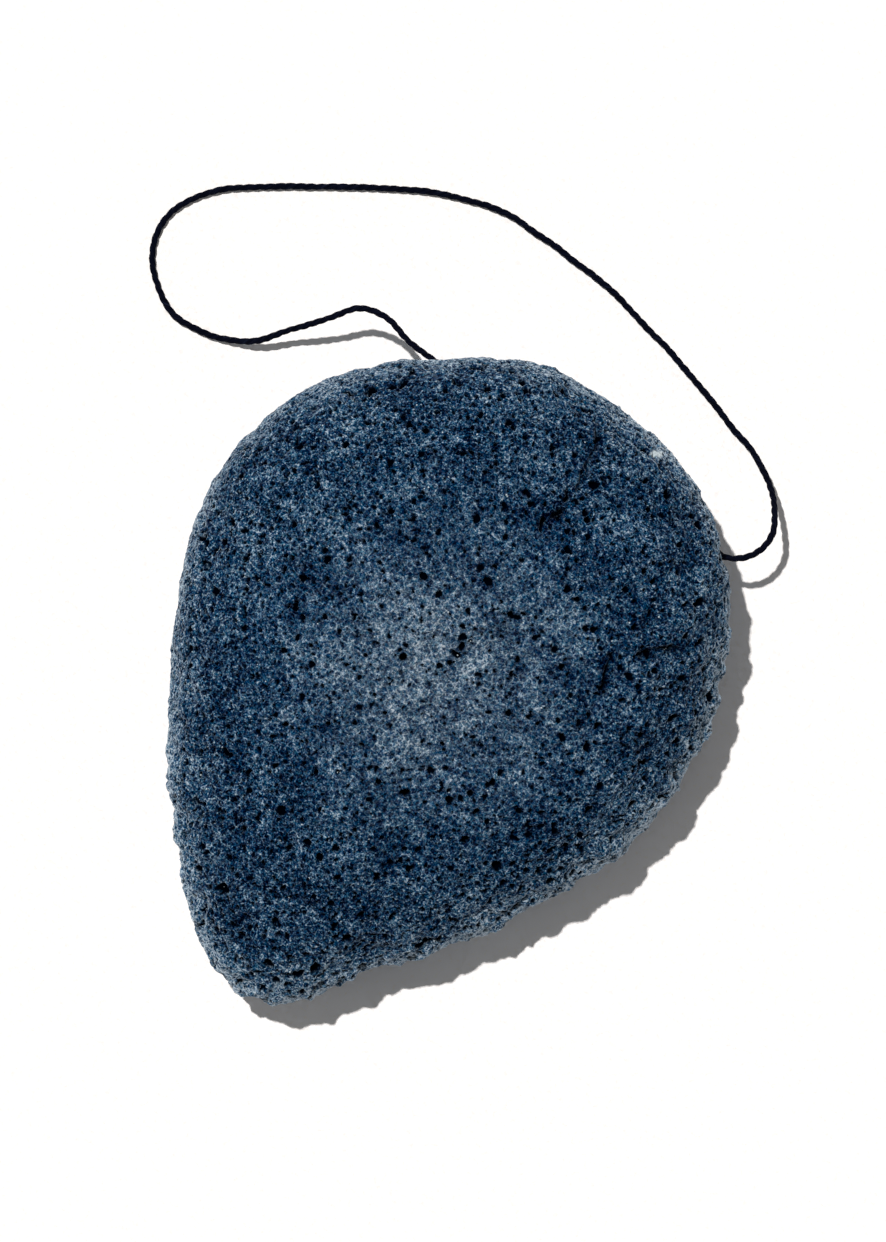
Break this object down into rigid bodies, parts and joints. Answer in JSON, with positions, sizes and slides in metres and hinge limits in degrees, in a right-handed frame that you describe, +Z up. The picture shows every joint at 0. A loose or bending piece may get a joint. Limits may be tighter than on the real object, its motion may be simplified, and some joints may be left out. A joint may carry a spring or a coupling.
{
  "type": "konjac sponge",
  "caption": "Teardrop facial cleansing sponge of dark open-pored foam with a thin cotton hanging cord looped through its round end.",
  "frame": {"origin": "centre of the sponge's outline, on the surface that its flat back rests on", "axes": "+Y from the narrow tip towards the round end, +Z up out of the flat back, +X to the right when the tip points towards you"},
  "size_m": [0.0952, 0.1014, 0.0242],
  "materials": {
    "konjac_foam": "matte, dry charcoal-grey konjac foam with open pores",
    "cotton_cord": "matte, twisted cotton dyed near black"
  },
  "bodies": {
    "sponge": {"sponge_body": "konjac_foam"},
    "cord": {"hanging_loop": "cotton_cord", "left_run": "cotton_cord", "right_run": "cotton_cord", "knot_left": "cotton_cord", "knot_right": "cotton_cord"}
  },
  "joints": [
    {"name": "loop_swing", "type": "hinge", "parent": "sponge", "child": "cord", "pos_m": [0, 0.0359, 0.009], "axis": [1, 0, 0], "range_deg": [0, 135]}
  ]
}
